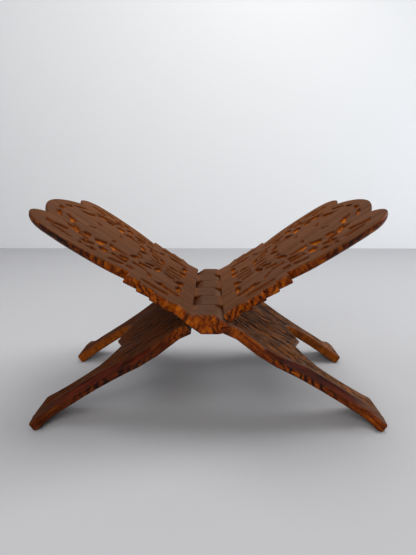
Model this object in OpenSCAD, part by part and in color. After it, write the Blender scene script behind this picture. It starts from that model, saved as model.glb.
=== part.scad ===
// Folding X-shaped book or album stand. Two carved wooden boards link through
// each other's windows like chain links. Each board is one leaf, three hinge
// knuckles and the leg panel on the opposite side.
// Millimetres, Z up. X runs across the stand, Y is its depth with the front
// at -Y, and the feet rest on Z = 0.

/* [Board] */
// Hinge line to the tip of a leaf
leaf_len = 152.5; // [110:0.5:220]
// Hinge line to the end of a foot
leg_len = 152.5; // [110:0.5:220]
// Width of the stand along the hinge
hinge_w = 152; // [110:1:220]
// Thickness of a leg panel, half the folded thickness at the hinge
board_t = 8.6; // [6:0.2:12]
// Thickness of a leaf away from the hinge
leaf_t = 7; // [5:0.2:10]
// Slope of the boards above the table when open, in degrees
lean = 33; // [28:0.5:40]

/* [Hinge] */
// Number of knuckles shared by the two boards
knuckles = 6; // [4:2:10]
// Side gap between neighbouring knuckles
knuckle_gap = 0.5; // [0.3:0.05:1]
// Space between the two boards when folded
fold_gap = 0.4; // [0.2:0.05:1]
// Gap left at the open stop
stop_gap = 0.05; // [0.02:0.01:0.3]
// Distance along the leaf over which it thins to its field
root_len = 36; // [20:1:60]

/* [Leaf outline] */
// Radius of the middle lobe
mid_r = 80; // [60:1:120]
// Half width of the middle lobe at its notches
mid_half = 43; // [30:1:55]
// Radius of the two outer lobes
lobe_r = 20; // [12:0.5:30]
// Distance of an outer lobe's centre from the middle line
lobe_y = 57.8; // [45:0.1:70]
// Hinge line to an outer lobe's centre
lobe_x = 125.5; // [90:0.5:140]
// Radius of a leaf's bulging side
side_r = 108; // [80:1:160]
// Hinge line to the widest place of a leaf
side_x = 116.5; // [80:0.5:130]
// Half width of a leaf at its widest place
side_half = 78.5; // [60:0.1:110]
// Hinge line to the last step of the side
steps_x = 65.5; // [50:0.5:80]
// Length of one step
step_len = 10.7; // [7:0.1:14]
// Half width at the outer end of the first step
step_half = 74.5; // [60:0.5:90]
// How much wider each next step starts
step_grow = 1.5; // [0:0.1:3]
// How far a step narrows towards the hinge
step_taper = 3.2; // [1:0.1:5]
// Half width of the waist next to the hinge
waist_half = 71; // [60:0.5:80]
// Hinge line to the waist
waist_x = 24.4; // [18:0.1:30]

/* [Leg outline] */
// Hinge line to the shoulder where a leg reaches its full width
leg_shoulder_x = 42; // [30:0.5:60]
// Half width of a leg panel at its waist
leg_waist_half = 69; // [50:0.5:80]
// Radius of the long hollow in a leg's side
leg_side_r = 165; // [120:5:400]
// Hinge line to the leg's waist
leg_waist_x = 112; // [90:1:130]
// Hinge line to the start of the toe flare
toe_x = 134; // [110:0.5:145]
// Radius of the toe flare
toe_r = 14; // [8:0.5:40]
// Half width of the leg panel at the toes
toe_half = 78; // [65:0.5:90]
// Radius of a foot's inner edge
arch_r = 120; // [80:1:200]
// Half width of the arch between the feet
arch_half = 44.8; // [30:0.1:55]
// Hinge line to the widest place of the arch
arch_x = 118; // [100:1:135]
// Hinge line to the arch's central point
tongue_x = 92; // [80:0.5:110]
// Hinge line to the deepest corners of the arch
cusp_x = 81.6; // [70:0.1:95]
// Distance of those corners from the middle line
cusp_y = 24; // [12:0.5:35]
// Size of the rounded-off shoulder between a corner and a foot
shoulder = 6; // [3:0.5:10]
// Height trimmed off the foot's lower edge to make a flat
foot_trim = 1; // [0.5:0.1:3]

/* [Carving] */
// Depth of the carved pockets in a leaf
pocket_depth = 2.2; // [1:0.1:3]
// Depth of the carved leaves on a leg
leg_cut_depth = 1.2; // [0.5:0.1:2]
// Hinge line to the start of the groove along a leg's side
groove_x = 58; // [45:1:100]
// Leg's side to the near side of that groove
groove_in = 4.5; // [2:0.1:8]
// Width of that groove
groove_w = 4; // [1:0.1:6]
// How much deeper than the carved leaves that groove is
groove_extra = 0.8; // [0:0.1:2]

/* [Hidden] */
$fn = 48;
wood = "SaddleBrown";
lap = 1;
big = 400;
half_w = hinge_w / 2;
pitch = hinge_w / knuckles;
fold = 180 - 2 * lean;
axis_z = leg_len * sin(lean) - foot_trim;
// The leaf's lower end corner rests on the other board's leg when open
leaf_end = (board_t + stop_gap - leaf_t * cos(fold)) / sin(fold);
leg_end = leaf_end + 0.8;
bump_out = leaf_end - 0.3;
bump_flat = leaf_end - 2.2;
// Height of the flat knuckle top above the hinge axis in the open pose
flat_h = board_t * cos(lean);
flat_n = (flat_h - bump_flat * sin(lean)) / cos(lean);
face_n = fold_gap / 2;
pocket_top = 1;
shoulder_half = arch_half - 1.5;

// ---- side view of one whole board, leaf at -X, leg at +X ----
module side_profile() {
  polygon([
    [-leaf_len, -face_n],
    [-bump_out, -face_n],
    [-bump_flat, flat_n],
    [0, board_t],
    [leg_len, board_t],
    [leg_len, face_n],
    [bump_out, face_n],
    [bump_flat, -flat_n],
    [0, -board_t],
    [-root_len, -leaf_t],
    [-leaf_len, -leaf_t]
  ]);
}

// ---- side view of the space one board leaves for the other's knuckle ----
module window_profile() {
  polygon([
    [-leaf_end, board_t],
    [-leaf_end, -leaf_t],
    [-leaf_end - board_t * cos(180 - fold), -leaf_t - board_t * sin(180 - fold)],
    [leg_end, -2 * board_t],
    [leg_end, 2 * board_t],
    [-leaf_end, 2 * board_t]
  ]);
}

// A plan shape as a slab thicker than the board
module slab() {
  translate([0, 0, -2 * board_t])
    linear_extrude(height = 4 * board_t)
      children();
}

module extrude_y(length, y0) {
  translate([0, y0 + length, 0])
    rotate([90, 0, 0])
      linear_extrude(height = length)
        children();
}

// ---- plan of a leaf, seen square to its face, tip at -X ----
module middle_lobe() {
  intersection() {
    translate([mid_r - leaf_len, 0])
      circle(r = mid_r, $fn = 160);
    translate([-leaf_len - 1, -mid_half])
      square([leaf_len - steps_x, 2 * mid_half]);
  }
}

module outer_lobe() {
  translate([-lobe_x, lobe_y])
    circle(r = lobe_r);
}

module leaf_body() {
  intersection() {
    translate([-side_x, side_half - side_r])
      circle(r = side_r, $fn = 160);
    translate([-side_x, side_r - side_half])
      circle(r = side_r, $fn = 160);
    translate([-lobe_x, -big / 2])
      square([lobe_x - steps_x + lap, big]);
  }
}

module side_step(i) {
  x0 = steps_x - i * step_len;
  y0 = step_half + i * step_grow;
  y1 = y0 - step_taper;
  polygon([
    [-x0, -y0],
    [-x0, y0],
    [step_len - x0 + lap, y1],
    [step_len - x0 + lap, -y1]
  ]);
}

module leaf_root() {
  x0 = steps_x - 3 * step_len;
  polygon([
    [-x0, -step_half - 3 * step_grow],
    [-x0, step_half + 3 * step_grow],
    [-waist_x, waist_half],
    [-bump_out, half_w],
    [bump_out, half_w],
    [bump_out, -half_w],
    [-bump_out, -half_w],
    [-waist_x, -waist_half]
  ]);
}

module leaf_blank() {
  slab()
    middle_lobe();
  slab()
    outer_lobe();
  slab()
    mirror([0, 1])
      outer_lobe();
  slab()
    leaf_body();
  for (i = [0 : 2])
    slab()
      side_step(i);
  slab()
    leaf_root();
}

// ---- plan of a leg panel, seen square to its face, feet at +X ----
module leg_side_cut() {
  slab()
    intersection() {
      translate([leg_waist_x, leg_waist_half + leg_side_r])
        circle(r = leg_side_r, $fn = 240);
      square([toe_x, big]);
    }
  slab()
    translate([toe_x, leg_waist_half + toe_r])
      circle(r = toe_r);
}

module arch_cut() {
  slab()
    intersection() {
      translate([arch_x, arch_half - arch_r])
        circle(r = arch_r, $fn = 160);
      translate([arch_x, arch_r - arch_half])
        circle(r = arch_r, $fn = 160);
      translate([tongue_x + shoulder / 2, -big / 2])
        square([leg_len, big]);
    }
  slab()
    polygon([
      [tongue_x + shoulder, -shoulder_half],
      [tongue_x - 2, shoulder - shoulder_half],
      [cusp_x + shoulder / 2, -cusp_y - shoulder],
      [cusp_x, -cusp_y],
      [tongue_x, 0],
      [cusp_x, cusp_y],
      [cusp_x + shoulder / 2, cusp_y + shoulder],
      [tongue_x - 2, shoulder_half - shoulder],
      [tongue_x + shoulder, shoulder_half]
    ]);
}

module leg_blank() {
  difference() {
    union() {
      slab()
        polygon([
          [0, -half_w],
          [0, half_w],
          [bump_out, half_w],
          [waist_x, waist_half],
          [leg_shoulder_x, toe_half],
          [leg_len + lap, toe_half],
          [leg_len + lap, -toe_half],
          [leg_shoulder_x, -toe_half],
          [waist_x, -waist_half],
          [bump_out, -half_w]
        ]);
    }
    leg_side_cut();
    mirror([0, 1, 0])
      leg_side_cut();
    arch_cut();
  }
}

// ---- carved shapes, drawn at a distance from the hinge line and middle line ----
module at(u, s, turn) {
  translate([-u, s])
    rotate(turn)
      children();
}

// Pointed petal, long axis along the leaf
module petal(len, wid) {
  r = (len * len / 4 + wid * wid / 4) / wid;
  intersection() {
    translate([0, wid / 2 - r])
      circle(r = r, $fn = 96);
    translate([0, r - wid / 2])
      circle(r = r, $fn = 96);
  }
}

// Slot with round ends, long axis along the leaf
module slot(len, wid) {
  square([len - wid, wid], center = true);
  translate([(len - wid) / 2, 0])
    circle(d = wid, $fn = 24);
  translate([(wid - len) / 2, 0])
    circle(d = wid, $fn = 24);
}

// Triangular pocket, point away from the hinge
module wedge(len, wid) {
  polygon([[-len / 2, 0], [len / 2, -wid / 2], [len / 2, wid / 2]]);
}

// Curved pocket that follows the middle lobe
module crescent(r, wid, y0, y1) {
  intersection() {
    difference() {
      translate([mid_r - leaf_len, 0])
        circle(r = r, $fn = 120);
      translate([mid_r - leaf_len, 0])
        circle(r = r - wid, $fn = 120);
    }
    translate([-leaf_len, y0])
      square([leaf_len / 2, y1 - y0]);
  }
}

module half_leaf_carving() {
  // round the medallion's upper edge
  crescent(71, 2.2, 5, 17);
  crescent(71, 2.2, 19, 31);
  at(127, 23, 62) petal(15, 3.2);
  at(124.8, 25.5, 90) wedge(5, 10);
  // side lobe
  at(129, 59, -28) petal(14, 5);
  at(120, 54, -20) petal(9, 4);
  at(118, 66.5, 0) slot(13, 2.6);
  at(114.5, 48, 25) petal(21, 4.4);
  at(118, 39, 40) petal(12, 3.4);
  at(109, 38.5, 90) wedge(6, 8);
  at(102, 54, -30) petal(11, 5);
  // beside the medallion
  at(98, 36.5, 90) petal(15, 6.5);
  at(98.5, 63, 12) petal(11, 5);
  at(90, 51.5, 80) petal(11, 5.5);
  at(87, 34, -12) petal(13, 5.5);
  at(80, 48, 8) petal(10, 4.6);
  at(78, 58.8, -36) petal(13, 3.6);
  at(75, 39, -50) petal(11, 3.8);
  at(67.5, 54, -15) petal(8, 5);
  // below the medallion
  at(69, 21.5, -58) petal(14, 4.2);
  at(68, 7.2, 62) petal(12, 4);
  at(61.5, 28.5, 80) petal(11, 4);
  at(56.5, 29.5, 0) wedge(9, 6);
  at(62, 39.5, 12) petal(14, 3.6);
  at(53, 46, 68) petal(12, 3);
  // fan between the medallion and the hinge
  at(55.5, 15.5, -60) petal(13, 3.4);
  at(54, 5, 8) petal(15, 3.6);
  at(48.5, 17, -72) petal(16, 3);
  at(36, 5, 4) slot(15, 3.4);
  at(37.5, 17, 30) petal(9, 3.6);
  at(28, 18.5, 0) wedge(6, 11);
  at(26.8, 35.5, 90) petal(18, 4);
  // long slots towards the side
  at(44, 61.5, 2) slot(23, 3.6);
  at(43, 49, 4) slot(15, 3.6);
  at(31, 49.5, 0) slot(12, 4);
}

module medallion_nicks() {
  at(111.5, 13, -52) petal(8, 2.6);
  at(90, 14.5, 78) petal(7, 1.8);
}

module leaf_carving() {
  for (side = [0, 1])
    mirror([0, side]) {
      half_leaf_carving();
      medallion_nicks();
    }
}

// Band between two distances from a leg's hollow side
module side_band(near, far) {
  intersection() {
    difference() {
      translate([leg_waist_x, leg_waist_half + leg_side_r])
        circle(r = leg_side_r + far, $fn = 240);
      translate([leg_waist_x, leg_waist_half + leg_side_r])
        circle(r = leg_side_r + near, $fn = 240);
    }
    translate([groove_x, 0])
      square([toe_x + shoulder - groove_x, toe_half + lap]);
  }
}

// Spray of leaves down the middle of a leg and out along its feet
module half_leg_carving() {
  at(-34, 9, 40) petal(20, 6);
  at(-36, 30, -35) petal(22, 7);
  at(-38, 52, 30) petal(20, 6);
  at(-58, 14, -30) petal(22, 7);
  at(-60, 38, 38) petal(22, 7);
  at(-64, 56, -25) petal(18, 5);
  at(-86, 48, 20) petal(20, 6);
  at(-110, 54.5, -8) petal(22, 5);
  at(-134, 53, 8) petal(18, 5);
}

module leg_carving() {
  for (side = [0, 1])
    mirror([0, side])
      half_leg_carving();
}

module leg_grooves() {
  for (side = [0, 1])
    mirror([0, side])
      side_band(groove_in, groove_in + groove_w);
}

// ---- one board, flat, leaf at -X and leg at +X, knuckles 1, 3, 5 kept ----
module board_blank() {
  intersection() {
    extrude_y(2 * side_r, -side_r)
      side_profile();
    union() {
      leaf_blank();
      leg_blank();
    }
  }
}

module windows() {
  for (i = [1 : 2 : knuckles - 3])
    extrude_y(pitch + knuckle_gap, i * pitch - half_w - knuckle_gap / 2)
      window_profile();
  extrude_y(big, half_w - pitch - knuckle_gap / 2)
    window_profile();
}

module flat_board() {
  difference() {
    board_blank();
    windows();
    translate([0, 0, -face_n - pocket_depth])
      linear_extrude(height = pocket_depth + pocket_top)
        leaf_carving();
    translate([0, 0, board_t - leg_cut_depth])
      linear_extrude(height = leg_cut_depth + pocket_top)
        leg_carving();
    translate([0, 0, board_t - leg_cut_depth - groove_extra])
      linear_extrude(height = leg_cut_depth + groove_extra + pocket_top)
        leg_grooves();
  }
}

module open_board() {
  difference() {
    translate([0, 0, axis_z])
      rotate([0, lean, 0])
        flat_board();
    translate([-big / 2, -big / 2, -big])
      cube([big, big, big]);
  }
}

// Left leaf and right leg
module board_a() {
  color(wood)
    open_board();
}

// Right leaf and left leg
module board_b() {
  color(wood)
    rotate([0, 0, 180])
      open_board();
}

board_a();
board_b();
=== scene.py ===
import math

import bpy
import numpy as np
from mathutils import Matrix


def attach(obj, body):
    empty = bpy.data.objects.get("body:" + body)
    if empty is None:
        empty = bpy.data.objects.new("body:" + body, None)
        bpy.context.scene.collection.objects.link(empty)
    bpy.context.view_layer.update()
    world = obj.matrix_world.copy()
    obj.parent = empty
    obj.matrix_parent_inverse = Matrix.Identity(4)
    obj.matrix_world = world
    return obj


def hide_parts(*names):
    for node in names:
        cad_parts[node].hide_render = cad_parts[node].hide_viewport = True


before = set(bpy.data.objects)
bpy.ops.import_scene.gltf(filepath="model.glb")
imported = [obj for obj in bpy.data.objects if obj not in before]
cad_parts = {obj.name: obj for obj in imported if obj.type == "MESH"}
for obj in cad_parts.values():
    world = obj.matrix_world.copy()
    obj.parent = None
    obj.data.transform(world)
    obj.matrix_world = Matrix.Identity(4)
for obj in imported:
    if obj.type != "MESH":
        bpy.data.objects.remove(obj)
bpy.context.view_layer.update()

# ---------------------------------------------------------------- board sizes, in mm
LEAF_LEN = 152.5
LEG_LEN = 152.5
HINGE_W = 152.0
BOARD_T = 8.6
LEAF_T = 7.0
LEAN = math.radians(33.0)
KNUCKLES = 6
KNUCKLE_GAP = 0.5
FACE_N = 0.2
STOP_GAP = 0.05
ROOT_LEN = 36.0
FOOT_TRIM = 1.0
FOLD = math.pi - 2 * LEAN
AXIS_Z = LEG_LEN * math.sin(LEAN) - FOOT_TRIM
LEAF_END = (BOARD_T + STOP_GAP - LEAF_T * math.cos(FOLD)) / math.sin(FOLD)
LEG_END = LEAF_END + 0.8
BUMP_OUT = LEAF_END - 0.3
BUMP_FLAT = LEAF_END - 2.2
FLAT_N = (BOARD_T * math.cos(LEAN) - BUMP_FLAT * math.sin(LEAN)) / math.cos(LEAN)
PITCH = HINGE_W / KNUCKLES
HINGE_HALF = HINGE_W / 2
NECK_X, NECK_HALF = 24.4, 71.0

# Leaf: the middle lobe's circle, the side lobe, the long side, the steps and the root
MID_R, MID_HALF = 80.0, 43.0
MID_X = LEAF_LEN - MID_R
LOBE_X, LOBE_Y, LOBE_R = 125.5, 57.8, 20.0
SIDE_X, SIDE_HALF, SIDE_R = 116.5, 78.5, 108.0
STEPS, STEP_X, STEP_HALF = 3, 65.5, 74.5
STEP_LEN, STEP_GROW, STEP_TAPER = 10.7, 1.5, 3.2
ROOT_X, ROOT_HALF = 33.4, 79.0

# Leg: shoulder, long hollow side, toe, and the arch between the feet with its cusp and tongue
LEG_HALF, SHOULDER_X = 78.0, 42.0
WAIST_X, WAIST_HALF, WAIST_R = 112.0, 69.0, 165.0
TOE_X, TOE_R = 134.0, 14.0
HOLLOW_START, TOE_END = 58.25, 147.1
ARCH_X, ARCH_Y, ARCH_R, ARCH_END = 118.0, -75.2, 120.0, 98.0
CUSP = [(90.5, 37.6), (84.8, 29.6), (81.6, 24.0), (86.5, 12.0), (92.0, 0.0)]

# Relief of the carved side and rounding of the edges
CUT_DEEP = 2.7
BAND_W, BAND_DROP, BAND_STEP = 7.4, 2.6, 0.5
LINE_AT, LINE_HALF, LINE_DEEP = 10.6, 0.8, 0.8
PANEL_FROM, LEG_FROM = 11.4, 13.0
STRAND = 5.4
SWELL, WORN = 0.07, 0.18
LOBE_FROM, LOBE_FULL = 60.0, 122.0
ARRIS, LOBE_DROP, LOBE_REACH = 0.9, 5.2, 8.4

# Mesh: spacing and half width of the grid, rows in the wall between the two sides, and distances
# that stand for a point far from a shape and for the open end of a window
GRID = 0.6
GRID_HALF = 82.0
WALL_ROWS = 5
FAR = 50.0
OUTSIDE = 200.0


# ---------------------------------------------------------------- seeded smooth noise
def lattice_noise(x, y, seed):
    rng = np.random.default_rng(seed)
    table = rng.random((256, 256))
    xi, yi = np.floor(x).astype(int), np.floor(y).astype(int)
    fx, fy = x - xi, y - yi
    sx, sy = fx * fx * (3 - 2 * fx), fy * fy * (3 - 2 * fy)
    xa, xb = xi % 256, (xi + 1) % 256
    ya, yb = yi % 256, (yi + 1) % 256
    top = table[xa, ya] * (1 - sx) + table[xb, ya] * sx
    low = table[xa, yb] * (1 - sx) + table[xb, yb] * sx
    return (top * (1 - sy) + low * sy) * 2 - 1


def fbm(x, y, seed, octaves=3):
    total, amp = 0.0, 1.0
    for k in range(octaves):
        total = total + amp * lattice_noise(x * 2**k + 11.3 * k, y * 2**k + 7.1 * k, seed + k)
        amp *= 0.5
    return total


# ---------------------------------------------------------------- outline of a board in plan
def arc(cx, cy, r, a0, a1, n):
    t = np.radians(np.linspace(a0, a1, n))
    return [(cx + r * math.cos(a), cy + r * math.sin(a)) for a in t]


def side_line(x):
    """Half width of the leg at x: hinge block, narrow neck, shoulder, long hollow and toe."""
    x = np.asarray(x, float)
    block = np.interp(x, [BUMP_OUT, NECK_X, SHOULDER_X], [HINGE_HALF, NECK_HALF, LEG_HALF])
    along = np.clip(x, SHOULDER_X, TOE_X) - WAIST_X
    hollow = WAIST_HALF + WAIST_R - np.sqrt(WAIST_R**2 - along**2)
    toe = WAIST_HALF + TOE_R - np.sqrt(np.clip(TOE_R**2 - (x - TOE_X) ** 2, 0, None))
    side = np.where(x < SHOULDER_X, block, np.where(x > TOE_X, LEG_HALF, hollow))
    return np.minimum(np.minimum(side, toe), LEG_HALF)


def leaf_half():
    """Points from the tip of the leaf at -X, round its lobes and steps, to the hinge."""
    pts = []
    for s in np.linspace(0, MID_HALF, 30):
        pts.append((-(MID_X + math.sqrt(MID_R**2 - s**2)), s))
    a0 = 180 - math.degrees(math.asin((MID_HALF - LOBE_Y) / LOBE_R))
    pts += arc(-LOBE_X, LOBE_Y, LOBE_R, a0, 92, 40)[1:]
    for u in np.linspace(LOBE_X - 1, STEP_X, 40):
        pts.append((-u, SIDE_HALF - SIDE_R + math.sqrt(SIDE_R**2 - (u - SIDE_X) ** 2)))
    for i in range(STEPS):
        u, s = STEP_X - STEP_LEN * i, STEP_HALF + STEP_GROW * i
        pts += [(-u, s), (-(u - STEP_LEN), s - STEP_TAPER)]
    return pts + [(-ROOT_X, ROOT_HALF), (-NECK_X, NECK_HALF), (-BUMP_OUT, HINGE_HALF)]


def leg_half():
    """Points from the hinge along the leg's side to the foot, and back to the arch's tongue."""
    pts = []
    side = np.linspace(HOLLOW_START, TOE_END, 60)
    for x in [BUMP_OUT, NECK_X, SHOULDER_X, *side, LEG_LEN]:
        pts.append((x, float(side_line(x))))
    for x in np.linspace(LEG_LEN, ARCH_END, 30):
        pts.append((x, ARCH_Y + math.sqrt(ARCH_R**2 - (x - ARCH_X) ** 2)))
    return pts + CUSP


def outline():
    """Closed outline of a board, the same on both sides of the middle line."""
    half = leaf_half() + leg_half()
    return np.array(half + [(x, -y) for x, y in half[-2:0:-1]])


def polygon_distance(px, py, poly):
    """Signed distance to a closed polygon, negative inside, and the nearest boundary point."""
    a, b = poly, np.roll(poly, -1, axis=0)
    best = np.full(px.shape, 1e9)
    nx, ny = np.zeros_like(px), np.zeros_like(py)
    inside = np.zeros(px.shape, bool)
    for (x0, y0), (x1, y1) in zip(a, b):
        dx, dy = x1 - x0, y1 - y0
        length = dx * dx + dy * dy
        if length < 1e-12:
            continue
        t = np.clip(((px - x0) * dx + (py - y0) * dy) / length, 0, 1)
        qx, qy = x0 + t * dx, y0 + t * dy
        d = (px - qx) ** 2 + (py - qy) ** 2
        near = d < best
        best = np.where(near, d, best)
        nx, ny = np.where(near, qx, nx), np.where(near, qy, ny)
        if dy != 0:
            cross = ((y0 > py) != (y1 > py)) & (px < dx * (py - y0) / dy + x0)
            inside ^= cross
    d = np.sqrt(best)
    return np.where(inside, -d, d), nx, ny


def window_rects():
    """X range and Y range of the windows one board leaves for the other's knuckles."""
    rects = []
    for i in (1, 3):
        y0 = i * PITCH - HINGE_HALF - KNUCKLE_GAP / 2
        rects.append((-LEAF_END, LEG_END, y0, y0 + PITCH + KNUCKLE_GAP))
    rects.append((-LEAF_END, LEG_END, HINGE_HALF - PITCH - KNUCKLE_GAP / 2, OUTSIDE))
    return rects


def rect_polygon(r):
    x0, x1, y0, y1 = r
    return np.array([(x0, y0), (x1, y0), (x1, y1), (x0, y1)])


def plan_distance(px, py):
    """Signed distance to the board in plan, with its windows, and the nearest point of its edge."""
    d, nx, ny = polygon_distance(px, py, outline())
    for r in window_rects():
        dr, rx, ry = polygon_distance(px, py, rect_polygon(r))
        worse = -dr > d
        d = np.where(worse, -dr, d)
        nx, ny = np.where(worse, rx, nx), np.where(worse, ry, ny)
    return d, nx, ny


# ---------------------------------------------------------------- carved shapes
# One half of the leaf's carving. Each pocket is an outline of a few (u, s) points in mm:
# u from the hinge line towards the tip, s from the middle line towards the side.
POCKETS = [
    [(123.5, 33), (126.5, 27), (131.5, 20), (134, 15.5), (126.5, 17), (122, 22), (121.5, 29)],
    [(134.5, 57), (132, 63.5), (128.5, 62), (124.5, 59), (118.5, 58), (118.5, 51), (123, 53),
     (128, 57)],
    [(127.5, 64.5), (126, 67.5), (112.5, 68), (111.5, 64.5), (119, 63.5)],
    [(125.5, 39), (122.5, 44), (112, 49), (104, 52), (103, 47), (110, 44), (118, 39.5)],
    [(122.5, 32.5), (120, 38), (113.5, 43), (111.8, 40), (117, 34.5)],
    [(112.5, 39.5), (111, 33.5), (105.5, 32), (104.8, 43.5), (109, 43)],
    [(102, 36.5), (99, 44), (94.5, 43.5), (92.8, 36), (93, 27), (97.5, 31)],
    [(106.5, 68.5), (106, 61.5), (103.5, 65), (103.5, 68)],
    [(102, 66.5), (99, 63.5), (97.5, 58.5), (93, 61), (94.5, 66)],
    [(108, 59), (105.5, 53), (98.5, 48.5), (97.5, 53.5), (103, 60)],
    [(94.5, 51), (92.5, 45), (87.5, 44.5), (86, 53.5), (91, 57)],
    [(91.5, 26.5), (90, 33), (85.5, 38.5), (81.5, 33.5), (75, 31.5), (75, 27.5), (82.5, 27)],
    [(84.5, 49.5), (83.5, 43.5), (78, 44.5), (72, 42.5), (71, 48.5), (77, 51.5)],
    [(83.5, 64), (83, 59), (77.5, 56), (73, 53.5), (72.5, 57.5), (77, 61)],
    [(71, 57.5), (70, 51), (65, 50), (63, 53.5), (67, 57)],
    [(80, 42), (79, 37.5), (72.5, 34), (71.5, 38), (75, 43)],
    [(73.5, 27.5), (73, 20), (69.5, 13.5), (66, 14), (67, 20), (70, 26)],
    [(68.5, 41), (68.5, 35.5), (58, 35.5), (56.5, 40.5), (53, 46.5), (50.5, 52), (50, 44),
     (54, 39.5), (61, 39.5)],
    [(64, 34), (64, 25), (60, 24), (54, 22), (53, 26), (58, 29), (61, 32)],
    [(60, 21), (59.5, 16), (53, 9.5), (51.5, 13.5), (55, 18.5)],
    [(51, 25), (52, 19), (49.5, 12), (47, 8), (45, 12), (47, 19.5)],
    [(57, 65), (54, 61), (34, 60), (32, 65.5), (45, 66.5)],
    [(47, 52.5), (43, 47), (40.5, 44.5), (36, 47), (25.5, 48), (25, 53), (33, 54.5)],
    [(28.8, 42), (29.5, 34), (27, 27), (24.6, 29), (24.4, 42), (26, 44.5)],
    [(32.5, 21.5), (28, 11.5), (24.6, 10), (24.6, 23)],
    [(43, 15), (41, 12), (33, 13), (32.5, 18.5), (37, 19)],
    [(43.5, 6), (42.5, 2.2), (29, 2.2), (27.5, 6.5), (35, 7)],
    [(60, 5), (57, 2), (47, 3), (45.5, 6), (51, 7.5)],
    [(70.5, 2), (71, 6), (67.5, 12), (64, 12.5), (65, 8), (67.5, 3)],
    [(115, 15.5), (113, 10.5), (110, 7.5), (109, 11)],
    [(91.8, 17.5), (92, 11.5), (90, 10.5), (89.3, 15.5)],
]
# Thin crescents near the tip: inner and outer radius about the middle lobe's centre, and the
# values of s where each starts and ends.
CRESCENTS = [(67.4, 71.4, 18.5, 34), (68.0, 71.8, 3.5, 15.5)]
CRESCENT_X = 90


def pocket_distance(px, s, outline_points):
    pts = np.array([(-u, v) for u, v in outline_points], float)
    d = np.full(px.shape, FAR)
    lo, hi = pts.min(0) - 4, pts.max(0) + 4
    near = (px > lo[0]) & (px < hi[0]) & (s > lo[1]) & (s < hi[1])
    if near.any():
        d[near] = polygon_distance(px[near], s[near], pts)[0] - 0.15
    return d


def crescent_distance(px, s, r0, r1, s0, s1):
    r = np.hypot(px + MID_X, s)
    t = np.clip((s - s0) / (s1 - s0), 0, 1)
    half = (r1 - r0) / 2 * np.sqrt(np.clip(4 * t * (1 - t), 0, 1))
    d = np.abs(r - (r0 + r1) / 2) - half
    out = (s < s0) | (s > s1) | (px > -CRESCENT_X)
    return np.where(out, FAR, d)


def leaf_carving(px, py, seed):
    """Distance to the nearest pocket of the leaf, with hand-cut unevenness."""
    wx = px + 0.55 * fbm(px / 7, py / 7, seed + 61, 2)
    wy = py + 0.55 * fbm(px / 7, py / 7, seed + 71, 2)
    s = np.abs(wy)
    d = np.full(px.shape, FAR)
    for pts in POCKETS:
        d = np.minimum(d, pocket_distance(wx, s, pts))
    for c in CRESCENTS:
        d = np.minimum(d, crescent_distance(wx, s, *c))
    return d


# Spines of the flowing strands carved on one half of the leg: start, bend and end as (x, s) in
# mm, and the shift of the ridges from the spine as a share of their spacing, STRAND.
LEG_LEAVES = [
    ((15, 3), (48, 0), (90, 2), 0.0),
    ((15, 9), (40, 24), (84, 12), 0.1),
    ((16, 17), (34, 40), (80, 24), 0.0),
    ((17, 28), (40, 52), (84, 34), 0.2),
    ((19, 40), (50, 64), (98, 41), 0.0),
    ((21, 56), (44, 70), (82, 56), 0.1),
    ((86, 52), (106, 60), (126, 50), 0.0),
    ((112, 56), (132, 50), (149, 60), 0.2),
    ((66, 40), (80, 36), (90, 26), 0.3),
    ((118, 48), (134, 42), (149, 46), 0.0),
]


def bezier(p0, p1, p2, n=28):
    t = np.linspace(0, 1, n)[:, None]
    return (1 - t) ** 2 * np.array(p0) + 2 * t * (1 - t) * np.array(p1) + t * t * np.array(p2)


def spine_distance(px, s, pts):
    """Distance to a curved rib and how far along it the nearest point is, 0 to 1."""
    best, along = np.full(px.shape, 1e9), np.zeros(px.shape)
    n = len(pts) - 1
    for k in range(n):
        (x0, y0), (x1, y1) = pts[k], pts[k + 1]
        dx, dy = x1 - x0, y1 - y0
        t = np.clip(((px - x0) * dx + (s - y0) * dy) / (dx * dx + dy * dy), 0, 1)
        d = np.hypot(px - x0 - t * dx, s - y0 - t * dy)
        near = d < best
        best = np.where(near, d, best)
        along = np.where(near, (k + t) / n, along)
    return best, along


def band_distance(px, py):
    """Distance from the leg's side, stretched near the hinge so that the band is narrow there."""
    along = np.concatenate([np.linspace(BUMP_OUT, 58, 12), np.linspace(60, LEG_LEN, 50)])
    e = spine_distance(px, np.abs(py), list(zip(along, side_line(along))))[0]
    e = np.where(px > 10, e, FAR)
    grow = 0.22 + 0.78 * smooth(px, 50.0, 86.0)
    return e / grow


def side_band(px, e):
    """Drop of the sloped band and its thin line, and how far each point is edge or band."""
    begin = smooth(px, 40.0, 46.0)
    end = 0.3 + 0.7 * smooth(-px, -LEG_LEN, -116.0)
    slope = BAND_DROP * np.clip(1 - e / BAND_W, 0, 1) ** 0.8 + BAND_STEP * smooth(-e, -7.8, -7.0)
    line = LINE_DEEP * np.clip(1 - ((e - LINE_AT) / LINE_HALF) ** 2, 0, 1)
    drop = begin * (slope + line * smooth(px, 44, 50)) * end
    channel = begin * end * smooth(e, -0.2, 0.4) * smooth(-e, -8.0, -7.4)
    return drop, begin * smooth(-e, -0.9, -0.3), channel


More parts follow.
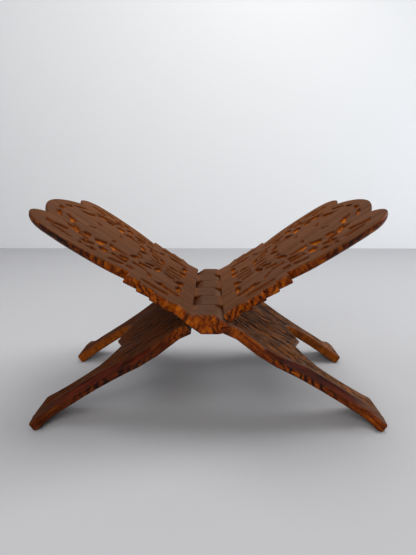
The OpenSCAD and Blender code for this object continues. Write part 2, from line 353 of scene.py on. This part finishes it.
def strand_depth(px, py, seed):
    """Depth in mm of the strands: each point follows the spine that is nearest to it."""
    wx = px + 0.5 * fbm(px / 9, py / 9, seed + 81, 2)
    wy = py + 0.5 * fbm(px / 9, py / 9, seed + 91, 2)
    s = np.abs(wy) + 2.3 * np.sin((wx + 0.8 * np.abs(wy)) / 7.0) * smooth(wx, 16.0, 30.0)
    ground = np.full(px.shape, 0.5)
    nearest = np.full(px.shape, 16.0)
    for p0, p1, p2, shift in LEG_LEAVES:
        pts = bezier(p0, p1, p2)
        lo, hi = pts.min(0) - 15, pts.max(0) + 15
        near = (wx > lo[0]) & (wx < hi[0]) & (s > lo[1]) & (s < hi[1])
        d, t = spine_distance(wx[near], s[near], pts)
        d = d + 4.0 * np.maximum(0.12 - t, 0) / 0.12 + 4.0 * np.maximum(t - 0.88, 0) / 0.12
        wave = np.cos(2 * math.pi * (d / STRAND + shift))
        depth = smooth(-wave, -0.70, 0.20)
        win = d < nearest[near]
        ground[near] = np.where(win, depth, ground[near])
        nearest[near] = np.where(win, d, nearest[near])
    deep = smooth(fbm(px / 15, py / 6, seed + 61, 2), -0.45, 0.35)
    return ground * (0.6 + 0.5 * deep)


def leg_relief(px, py, inset, seed):
    """Drop of the leg's side band, depth of its strands, and how far each point is edge or band."""
    e = band_distance(px, py)
    drop, edge, channel = side_band(px, e)
    panel = smooth(e, PANEL_FROM, 12.2) * smooth(inset, 1.8, 2.8) * smooth(px, LEG_FROM, 15.5)
    return drop, panel * strand_depth(px, py, seed), edge, channel


# ---------------------------------------------------------------- heights of the two sides
def smooth(x, a, b):
    """0 below a, 1 above b, and an even S curve between them."""
    t = np.clip((x - a) / (b - a), 0, 1)
    return t * t * (3 - 2 * t)


def profile_top(x):
    xs = [-LEAF_LEN, -BUMP_OUT, -BUMP_FLAT, 0.0, LEG_LEN]
    return np.interp(x, xs, [-FACE_N, -FACE_N, FLAT_N, BOARD_T, BOARD_T])


def profile_low(x):
    xs = [-LEAF_LEN, -ROOT_LEN, 0.0, BUMP_FLAT, BUMP_OUT, LEG_LEN]
    return np.interp(x, xs, [-LEAF_T, -LEAF_T, -BOARD_T, -FLAT_N, FACE_N, FACE_N])


def ease(d, drop, reach):
    """How far a rounded arris drops at distance -d inside the outline."""
    t = np.clip(1 + d / reach, 0, 1)
    return drop * (1 - np.sqrt(np.clip(1 - t * t, 0, 1)))


def top_height(x, y, d, seed):
    """Height of the carved side, depth of its cuts, and how far each point is edge or band."""
    leaf = x < -BUMP_OUT - 1
    leg = x > LEG_FROM
    carve = leaf_carving(x, y, seed)
    rough = 1 + 0.16 * fbm(x / 3.2, y / 3.2, seed + 9)
    pocket = np.where(leaf, CUT_DEEP * smooth(-carve, -0.1, 0.7) * rough, 0.0)
    drop, strands, edge, channel = leg_relief(x, y, -d, seed)
    cut = pocket + np.where(leg, strands, 0.0)
    worn = WORN * np.exp(-((carve / 0.6) ** 2)) * leaf
    lobe = 0.5 * smooth(-x, LOBE_FROM, LOBE_FULL)
    z = profile_top(x) - cut - np.where(leg, drop, 0.0) - worn - ease(d, 0.7 + lobe, 0.8 + lobe)
    z = z + SWELL * fbm(x / 16, y / 12, seed) - SWELL
    return z, cut, np.where(leg, edge, 0.0), np.where(leg, channel, 0.0)


def low_height(x, y, d, seed):
    """Height of the plain side. Its arris is rounded far in round the lobes of the leaf."""
    lobe = smooth(-x, LOBE_FROM, LOBE_FULL)
    drop = ARRIS + LOBE_DROP * lobe
    reach = ARRIS + LOBE_REACH * lobe
    z = profile_low(x) + ease(d, drop, reach)
    z = z + SWELL * fbm(x / 16, y / 12, seed + 40) + SWELL
    table = (x * math.sin(LEAN) - AXIS_Z) / math.cos(LEAN)
    return np.maximum(z, table), smooth(d, -reach * 0.7, -reach * 0.3)


# ---------------------------------------------------------------- mesh of a board
def snapped_grid():
    """Shape of a grid over the board, its points in plan and their distance to the outline.

    Points close to the outline are moved onto it."""
    xs = np.arange(-LEAF_LEN - GRID, LEG_LEN + 2 * GRID, GRID)
    ys = np.arange(-GRID_HALF, GRID_HALF + GRID, GRID)
    X, Y = np.meshgrid(xs, ys, indexing="ij")
    px, py = X.ravel(), Y.ravel()
    d, nx, ny = plan_distance(px, py)
    on = np.abs(d) <= 0.5 * GRID
    return X.shape, np.where(on, nx, px), np.where(on, ny, py), np.where(on, 0.0, d)


def inside_cells(cells, px, py):
    """The cells whose middle lies on the board."""
    return cells[plan_distance(px[cells].mean(1), py[cells].mean(1))[0] < 0]


def board_cells():
    """The board's points in plan, their distance to the outline, and its quads and triangles."""
    shape, px, py, d = snapped_grid()
    index = np.arange(px.size).reshape(shape)
    a, b = index[:-1, :-1].ravel(), index[1:, :-1].ravel()
    c, e = index[1:, 1:].ravel(), index[:-1, 1:].ravel()
    quad = np.stack([a, b, c, e], 1)
    keep = (d <= 0)[quad]
    count = keep.sum(1)
    quads = inside_cells(quad[count == 4], px, py)
    corners = quad[count == 3][keep[count == 3]].reshape(-1, 3)
    tris = inside_cells(corners, px, py)
    used = np.unique(np.concatenate([quads.ravel(), tris.ravel()]))
    remap = -np.ones(px.size, int)
    remap[used] = np.arange(used.size)
    return px[used], py[used], d[used], remap[quads], remap[tris]


def boundary_edges(quads, tris):
    """The edges that only one cell uses, in that cell's direction."""
    edges = np.concatenate(
        [quads[:, [i, (i + 1) % 4]] for i in range(4)]
        + [tris[:, [i, (i + 1) % 3]] for i in range(3)]
    )
    key = np.sort(edges, 1)
    code = key[:, 0].astype(np.int64) * 10_000_000 + key[:, 1]
    _, first, counts = np.unique(code, return_index=True, return_counts=True)
    return edges[first[counts == 1]]


def board_points(x, y, d, rim, seed):
    """Points of the carved side, the plain side and the wall between them, with their values."""
    top, cut, side_edge, channel = top_height(x, y, d, seed)
    low, under_edge = low_height(x, y, d, seed)
    zero, one = np.zeros(x.size), np.ones(x.size)
    arris = smooth(d, -0.9, -0.1)
    verts = [np.stack([x, y, top], 1), np.stack([x, y, low], 1)]
    values = {
        "edge": [np.maximum(side_edge, arris * 0.7), under_edge],
        "cut": [cut, zero],
        "under": [zero, one],
        "channel": [channel, zero],
    }
    for r in range(1, WALL_ROWS + 1):
        t = r / (WALL_ROWS + 1)
        z = top[rim] * (1 - t) + low[rim] * t
        verts.append(np.stack([x[rim], y[rim], z], 1))
        for key, parts in values.items():
            parts.append(np.full(rim.size, 1.0 if key == "edge" else 0.0))
    return np.concatenate(verts), {key: np.concatenate(v) for key, v in values.items()}


def board_faces(n, quads, tris, edges, rim):
    """Faces of the carved side, the plain side and the rows of the wall."""
    rings = [np.arange(n)]
    for r in range(WALL_ROWS):
        ring = -np.ones(n, int)
        ring[rim] = 2 * n + r * rim.size + np.arange(rim.size)
        rings.append(ring)
    rings.append(np.arange(n) + n)
    faces = quads.tolist() + tris.tolist()
    faces += (quads[:, ::-1] + n).tolist() + (tris[:, ::-1] + n).tolist()
    i, j = edges[:, 0], edges[:, 1]
    for up, down in zip(rings[:-1], rings[1:]):
        faces += np.stack([up[j], up[i], down[i], down[j]], 1).tolist()
    return faces


def board_mesh(name, seed):
    """Closed mesh of a board, made flat in mm, then turned to its slope and put in metres."""
    x, y, d, quads, tris = board_cells()
    edges = boundary_edges(quads, tris)
    rim = np.unique(edges)
    co, values = board_points(x, y, d, rim, seed)
    faces = board_faces(x.size, quads, tris, edges, rim)
    me = bpy.data.meshes.new(name)
    me.from_pydata(co.tolist(), [], faces)
    me.polygons.foreach_set("use_smooth", np.ones(len(faces), bool))
    board = me.attributes.new("board", "FLOAT_VECTOR", "POINT")
    board.data.foreach_set("vector", (co / 1000).astype(np.float32).ravel())
    for key, value in values.items():
        att = me.attributes.new(key, "FLOAT", "POINT")
        att.data.foreach_set("value", value.astype(np.float32))
    me.transform(Matrix.Scale(0.001, 4))
    me.transform(Matrix.Rotation(LEAN, 4, "Y"))
    me.transform(Matrix.Translation((0, 0, AXIS_Z / 1000)))
    return me


# ---------------------------------------------------------------- materials
class Nodes:
    """A node material. put sets or links a socket; the others add a node and return its output."""

    def __init__(self, name):
        self.mat = bpy.data.materials.new(name)
        self.mat.use_nodes = True
        self.t = self.mat.node_tree
        self.t.nodes.clear()
        out = self.t.nodes.new("ShaderNodeOutputMaterial")
        self.bsdf = self.t.nodes.new("ShaderNodeBsdfPrincipled")
        self.t.links.new(self.bsdf.outputs[0], out.inputs[0])

    def put(self, socket, value):
        if isinstance(value, bpy.types.NodeSocket):
            self.t.links.new(value, socket)
        else:
            socket.default_value = value

    def attr(self, name, out="Vector"):
        n = self.t.nodes.new("ShaderNodeAttribute")
        n.attribute_name = name
        return n.outputs[out]

    def scale(self, vec, xyz, loc=(0, 0, 0)):
        n = self.t.nodes.new("ShaderNodeMapping")
        self.put(n.inputs["Vector"], vec)
        n.inputs["Scale"].default_value = xyz
        n.inputs["Location"].default_value = loc
        return n.outputs[0]

    def noise(self, vec, scale, detail=4.0, rough=0.55, dist=0.0):
        n = self.t.nodes.new("ShaderNodeTexNoise")
        self.put(n.inputs["Vector"], vec)
        n.inputs["Scale"].default_value = scale
        n.inputs["Detail"].default_value = detail
        n.inputs["Roughness"].default_value = rough
        n.inputs["Distortion"].default_value = dist
        return n.outputs[0]

    def ramp(self, fac, stops):
        n = self.t.nodes.new("ShaderNodeValToRGB")
        self.put(n.inputs[0], fac)
        el = n.color_ramp.elements
        while len(el) < len(stops):
            el.new(0.5)
        for e, (p, c) in zip(el, stops):
            e.position = p
            e.color = (*c, 1)
        return n.outputs[0]

    def grey(self, fac, a, b, low=0.0, high=1.0):
        n = self.t.nodes.new("ShaderNodeMapRange")
        self.put(n.inputs[0], fac)
        n.inputs[1].default_value = a
        n.inputs[2].default_value = b
        n.inputs[3].default_value = low
        n.inputs[4].default_value = high
        return n.outputs[0]

    def math(self, op, a, b=0.0, c=0.0):
        n = self.t.nodes.new("ShaderNodeMath")
        n.operation = op
        self.put(n.inputs[0], a)
        self.put(n.inputs[1], b)
        self.put(n.inputs[2], c)
        return n.outputs[0]

    def times(self, a, b):
        return self.math("MULTIPLY", a, b)

    def mix(self, fac, a, b):
        n = self.t.nodes.new("ShaderNodeMix")
        n.data_type = "RGBA"
        self.put(n.inputs[0], fac)
        for sock, v in ((n.inputs[6], a), (n.inputs[7], b)):
            self.put(sock, v if isinstance(v, bpy.types.NodeSocket) else (*v, 1))
        return n.outputs[2]

    def bump(self, height, distance, strength, normal=None):
        n = self.t.nodes.new("ShaderNodeBump")
        n.inputs["Distance"].default_value = distance
        n.inputs["Strength"].default_value = strength
        self.put(n.inputs["Height"], height)
        if normal is not None:
            self.put(n.inputs["Normal"], normal)
        return n.outputs[0]

    def separate(self, vec):
        n = self.t.nodes.new("ShaderNodeSeparateXYZ")
        self.put(n.inputs[0], vec)
        return n.outputs


# Colour ramps of the wood and of painted shade, as (place, colour), and the spacing in metres of its
# dark lines
DUST = [(0.30, (0.058, 0.017, 0.004)), (0.5, (0.108, 0.036, 0.010)),
        (0.72, (0.142, 0.052, 0.017))]
# The pocket ramp's dark middle stop is painted shade on the pockets' walls; its shallow and deep
# stops are the wood.
CUT_WOOD_AND_WALL_SHADE = [(0.06, (0.15, 0.040, 0.006)), (0.50, (0.090, 0.018, 0.001)),
            (0.80, (0.42, 0.105, 0.001))]
HOLLOW_WOOD = [(0.36, (0.026, 0.006, 0.001)), (0.47, (0.070, 0.016, 0.001))]
SAWN_WOOD = [(0.32, (0.050, 0.007, 0.0005)), (0.48, (0.250, 0.042, 0.0005)),
             (0.68, (0.520, 0.125, 0.002))]
LEG_WOOD = [(0.30, (0.040, 0.005, 0.001)), (0.5, (0.180, 0.030, 0.001)),
            (0.7, (0.400, 0.090, 0.002))]
PLAIN_WOOD = [(0.3, (0.024, 0.006, 0.001)), (0.5, (0.090, 0.022, 0.002)),
              (0.7, (0.150, 0.042, 0.004))]
# The band ramp is dark red painted shade for the sloped band along the leg's side.
BAND_SHADE = [(0.35, (0.018, 0.002, 0.0005)), (0.62, (0.100, 0.012, 0.001))]
STREAK_GAP, RING_GAP = 0.0058, 0.0085


class Rosewood(Nodes):
    """One plank of rosewood, coloured by place and by the values stored on the board's mesh."""

    def __init__(self, name, shift):
        super().__init__(name)
        at = self.attr("board")
        self.x, self.y, self.z = self.separate(at)[:3]
        self.p = self.scale(at, (1, 1, 1), shift)
        self.cut = self.attr("cut", "Fac")
        self.edge = self.attr("edge", "Fac")
        self.under = self.attr("under", "Fac")
        self.channel = self.attr("channel", "Fac")
        self.leg = self.grey(self.x, -0.0005, 0.0045)
        self.fine = self.noise(self.scale(self.p, (55, 1300, 1300)), 1.0, 4.0, 0.65)
        self.band = self.noise(self.scale(self.p, (10, 190, 190)), 1.0, 4.0, 0.55, 0.4)
        self.patch = self.noise(self.p, 26.0, 4.0, 0.55)
        self.speck = self.noise(self.scale(self.p, (500, 900, 900)), 1.0, 3.0, 0.6)

    def dusty_face(self, back):
        """Reading side: dull grey-brown dust over straight grain.

        It is warmer towards the back, greyer on the knuckles and orange in patches on the strip
        beside them."""
        dust = self.ramp(self.band, DUST)
        dust = self.mix(self.grey(self.fine, 0.38, 0.68, 0.0, 0.55), dust, (0.050, 0.015, 0.005))
        warmth = self.grey(self.times(self.y, back), -0.02, 0.09, 0.0, 0.6)
        warmth = self.times(warmth, self.grey(self.patch, 0.3, 0.6, 0.4, 1.0))
        dust = self.mix(warmth, dust, (0.170, 0.050, 0.006))
        knuckle = self.grey(self.x, -0.0115, -0.0095)
        knuckle = self.times(knuckle, self.math("SUBTRACT", 1.0, self.leg))
        dust = self.mix(self.times(knuckle, 0.7), dust, (0.062, 0.028, 0.012))
        bevel = self.grey(self.x, -0.0127, -0.0121)
        bevel = self.times(bevel, self.grey(self.x, -0.0100, -0.0106))
        bevel_patches = self.times(bevel, self.grey(self.patch, 0.4, 0.65, 0.0, 0.5))
        return self.mix(bevel_patches, dust, (0.105, 0.030, 0.005))

    def cut_wood(self):
        """Bare wood in the leaf's pockets, by depth: painted shade darkens their walls, orange wood
        on the floor.
        """
        deep = self.ramp(self.grey(self.cut, 0.0, 2.6), CUT_WOOD_AND_WALL_SHADE)
        grime = self.noise(self.scale(self.p, (130, 170, 170)), 1.0, 3.0, 0.6)
        deep = self.mix(self.grey(grime, 0.46, 0.62, 0.0, 0.75), deep, (0.070, 0.014, 0.001))
        return self.mix(self.grey(self.speck, 0.45, 0.75, 0.0, 0.6), deep, (0.09, 0.014, 0.001))

    def leg_face(self, tone):
        """Carved side of the leg: darker, with dust on the ridges. The tone paints the leg lit or in
        shade; on the lit board the grey on the ridges is dust with a painted sheen.
        """
        island = self.noise(self.scale(self.p, (70, 150, 150)), 1.0, 3.0, 0.6)
        ridge = self.mix(self.grey(island, 0.25, 0.62), tone["ridge"], tone["dust"])
        hollow = self.ramp(island, [*HOLLOW_WOOD, (0.60, tone["hollow"])])
        relief = self.mix(self.grey(self.cut, 0.16, 0.52), ridge, hollow)
        return self.mix(self.grey(self.fine, 0.4, 0.7, 0.0, 0.15), relief, (0.016, 0.004, 0.001))

    def sawn_wood(self):
        """Bright wood of the sawn edges, and the thin veins in it."""
        contour = self.noise(self.scale(self.p, (48, 60, 150)), 1.0, 2.0, 0.5, 0.3)
        contour = self.math("ABSOLUTE", self.math("SUBTRACT", contour, 0.5))
        vein = self.grey(contour, 0.0, 0.012, 0.8, 0.0)
        grain = self.noise(self.scale(self.p, (260, 60, 130)), 1.0, 6.0, 0.7, 0.3)
        return self.ramp(grain, SAWN_WOOD), vein

    def leaf_edge(self, bright, vein):
        """Sawn edges of the leaf: bright, with dark streaks across, near black at the lobes."""
        slant = self.math("ADD", self.x, self.times(self.z, 0.75))
        sway = self.noise(self.scale(self.p, (90, 90, 190)), 1.0, 5.0, 0.65)
        wave = self.math("MULTIPLY_ADD", slant, 2 * math.pi / STREAK_GAP, self.times(sway, 20.0))
        streak = self.grey(self.math("SINE", wave), -0.1, 1.0)
        streak = self.times(streak, self.grey(self.patch, 0.42, 0.56, 0.10, 1.0))
        rim = self.mix(self.math("MAXIMUM", streak, vein), bright, (0.030, 0.005, 0.001))
        tip = self.grey(self.x, -0.055, -0.112)
        tip = self.times(tip, self.grey(self.patch, 0.35, 0.58, 0.45, 1.0))
        tip = self.times(tip, self.grey(sway, 0.42, 0.58, 1.0, 0.45))
        rim = self.mix(tip, rim, (0.010, 0.002, 0.0005))
        window = self.times(self.grey(self.math("ABSOLUTE", self.x), 0.0170, 0.0160),
                            self.grey(self.math("ABSOLUTE", self.y), 0.0757, 0.0750))
        shade = self.times(window, self.grey(self.patch, 0.35, 0.6, 0.9, 0.5))
        return self.mix(shade, rim, (0.020, 0.005, 0.001))

    def leg_edge(self, tone, bright, vein):
        """Sawn edges of the leg: arched black rings on dark red, paler inside the arch."""
        bow = self.times(self.math("POWER", self.math("ADD", self.z, 0.003), 2.0), 90.0)
        sway = self.noise(self.scale(self.p, (60, 60, 90)), 1.0, 4.0, 0.6)
        arch = self.math("MULTIPLY_ADD", self.math("ADD", self.x, bow), 2 * math.pi / RING_GAP,
                         self.times(sway, 24.0))
        rings = self.grey(self.math("SINE", arch), -0.1, 0.6)
        cluster = self.times(self.grey(self.x, 0.036, 0.060), self.grey(self.x, 0.130, 0.100))
        rings = self.times(rings, self.math("MULTIPLY_ADD", cluster, 0.85, 0.1))
        grain = self.noise(self.scale(self.p, (60, 60, 480)), 1.0, 6.0, 0.65, 0.8)
        # painted shade: on the shaded board the tone's share darkens the red of the leg's sawn edges
        red = self.mix(tone["painted_shade"], self.ramp(grain, LEG_WOOD), (0.016, 0.002, 0.0005))
        dark = self.math("MAXIMUM", rings, self.times(vein, 0.7))
        shank = self.mix(dark, red, (0.009, 0.002, 0.001))
        inner = self.times(self.math("GREATER_THAN", self.x, 0.0800),
                           self.math("LESS_THAN", self.math("ABSOLUTE", self.y), 0.0480))
        pale = self.mix(0.45, bright, (0.200, 0.060, 0.004))
        pale = self.mix(self.times(vein, 0.8), pale, (0.030, 0.006, 0.001))
        return self.mix(self.times(inner, 0.9), shank, pale)

    def plain_side(self):
        """Uncarved side of both leaf and leg."""
        plain = self.ramp(self.band, PLAIN_WOOD)
        return self.mix(self.grey(self.fine, 0.4, 0.7, 0.0, 0.6), plain, (0.030, 0.010, 0.004))

    def painted_band_shade(self):
        """Dark red painted shade on the sloped band along the leg's side."""
        return self.ramp(self.noise(self.scale(self.p, (40, 300, 300)), 1.0, 4.0, 0.6), BAND_SHADE)

    def surface(self):
        """Dull faces and waxed edges, with a bump of grain, broad unevenness and fine specks."""
        dull = self.grey(self.patch, 0.3, 0.7, 0.70, 0.88)
        waxed = self.grey(self.patch, 0.3, 0.7, 0.34, 0.50)
        self.put(self.bsdf.inputs["Roughness"], self.mix(self.edge, dull, waxed))
        self.bsdf.inputs["Specular IOR Level"].default_value = 0.09
        height = self.bump(self.fine, 0.00018, 0.5)
        height = self.bump(self.patch, 0.0007, 0.5, height)
        height = self.bump(self.speck, 0.00020, 0.4, height)
        self.put(self.bsdf.inputs["Normal"], height)


def rosewood(name, shift, back, tone):
    """Material of one board.

    back is +1 where the plank's far end has the higher y, and -1 on the turned board."""
    m = Rosewood(name, shift)
    face = m.mix(m.grey(m.cut, 0.10, 0.50), m.dusty_face(back), m.cut_wood())
    face = m.mix(m.leg, face, m.leg_face(tone))
    bright, vein = m.sawn_wood()
    leg_share = m.grey(m.x, 0.016, 0.034)
    rim = m.mix(leg_share, m.leaf_edge(bright, vein), m.leg_edge(tone, bright, vein))
    color = m.mix(m.under, face, m.plain_side())
    color = m.mix(m.edge, color, rim)
    # dark red painted shade on the sloped band along the leg's side
    color = m.mix(m.channel, color, m.painted_band_shade())
    m.put(m.bsdf.inputs["Base Color"], color)
    m.surface()
    return m.mat


# ---------------------------------------------------------------- the two boards
# board_a's tone paints its leg as lit from the side: brighter ridges, orange hollows, and grey on
# the ridges that is dust with a painted sheen.
PAINTED_LIT_TONE = {"ridge": (0.092, 0.031, 0.010), "dust": (0.150, 0.078, 0.046),
              "hollow": (0.340, 0.090, 0.005), "painted_shade": 0.0}
# board_b's tone paints its leg in shade: darker ridges, dust and hollows, and a share that darkens
# its sawn edges with painted shade.
PAINTED_SHADED_TONE = {"ridge": (0.044, 0.010, 0.001), "dust": (0.074, 0.022, 0.005),
             "hollow": (0.110, 0.020, 0.001), "painted_shade": 0.60}


def add_board(name, body, half_turn, seed, shift, tone):
    """One carved board, which rides on its CAD body and stands for it."""
    me = board_mesh(name + "_carved", seed)
    if half_turn:
        me.transform(Matrix.Rotation(math.pi, 4, "Z"))
    back = -1.0 if half_turn else 1.0
    me.materials.append(rosewood("rosewood_" + name[-1], shift, back, tone))
    ob = bpy.data.objects.new(name + "_carved", me)
    bpy.context.scene.collection.objects.link(ob)
    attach(ob, body)
    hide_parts(body)


# ---------------------------------------------------------------- camera, floor and light
# The camera was fitted to the photograph's view. Its place is in metres, its angles in degrees.
CAMERA_AT = (0.0022, -0.35035, 0.1811)
CAMERA_DOWN, CAMERA_TURN = 13.36, 0.42
SENSOR_W, LENS = 36.0, 27.05
SKY_COLOR, SKY_STRENGTH = (0.93, 0.95, 1.0, 1), 0.26
STAGE_SIZE, BACKDROP_Y = 6.0, 0.75


def add_camera():
    data = bpy.data.cameras.new("camera")
    data.sensor_width = SENSOR_W
    data.lens = LENS
    data.clip_start = 0.01
    ob = bpy.data.objects.new("camera", data)
    bpy.context.scene.collection.objects.link(ob)
    ob.location = CAMERA_AT
    ob.rotation_euler = (math.radians(90 - CAMERA_DOWN), 0.0, math.radians(CAMERA_TURN))
    bpy.context.scene.camera = ob


def stage_plane(name, loc, rot, color):
    bpy.ops.mesh.primitive_plane_add(size=STAGE_SIZE, location=loc, rotation=rot)
    ob = bpy.context.active_object
    ob.name = name
    m = Nodes(name)
    m.put(m.bsdf.inputs["Base Color"], (*color, 1))
    m.put(m.bsdf.inputs["Roughness"], 0.9)
    ob.data.materials.append(m.mat)


def area_light(name, loc, target, size, power, color):
    """A round light at loc that faces target."""
    data = bpy.data.lights.new(name, "AREA")
    data.shape = "DISK"
    data.size = size
    data.energy = power
    data.color = color
    ob = bpy.data.objects.new(name, data)
    bpy.context.scene.collection.objects.link(ob)
    ob.location = loc
    direction = np.array(target) - np.array(loc)
    ob.rotation_euler = (
        math.acos(-direction[2] / np.linalg.norm(direction)),
        0,
        math.atan2(direction[1], direction[0]) - math.pi / 2,
    )


def set_world():
    world = bpy.data.worlds.new("world")
    world.use_nodes = True
    sky = world.node_tree.nodes["Background"]
    sky.inputs[0].default_value = SKY_COLOR
    sky.inputs[1].default_value = SKY_STRENGTH
    bpy.context.scene.world = world
    bpy.context.scene.view_settings.view_transform = "Standard"


add_camera()
add_board("board_a", "board_a", False, 11, (0.0, 0.0, 0.0), PAINTED_LIT_TONE)
add_board("board_b", "board_b", True, 23, (0.37, 0.21, 0.11), PAINTED_SHADED_TONE)
stage_plane("floor", (0, 0, -0.0002), (0, 0, 0), (0.46, 0.46, 0.475))
stage_plane("backdrop", (0, BACKDROP_Y, 0), (math.radians(90), 0, 0), (0.82, 0.83, 0.84))
area_light("key", (0.20, 0.20, 1.05), (0, 0, 0.08), 0.7, 6.6, (1.0, 0.98, 0.95))
area_light("front", (-0.25, -0.95, 0.75), (0, 0, 0.06), 0.9, 5.6, (1.0, 0.97, 0.93))
area_light("window", (1.10, 0.20, 0.36), (0, 0, 0.05), 0.5, 5.5, (0.90, 0.95, 1.0))
area_light("fill", (-0.7, 0.1, 0.9), (0, 0, 0.08), 0.8, 2.5, (0.95, 0.97, 1.0))
set_world()
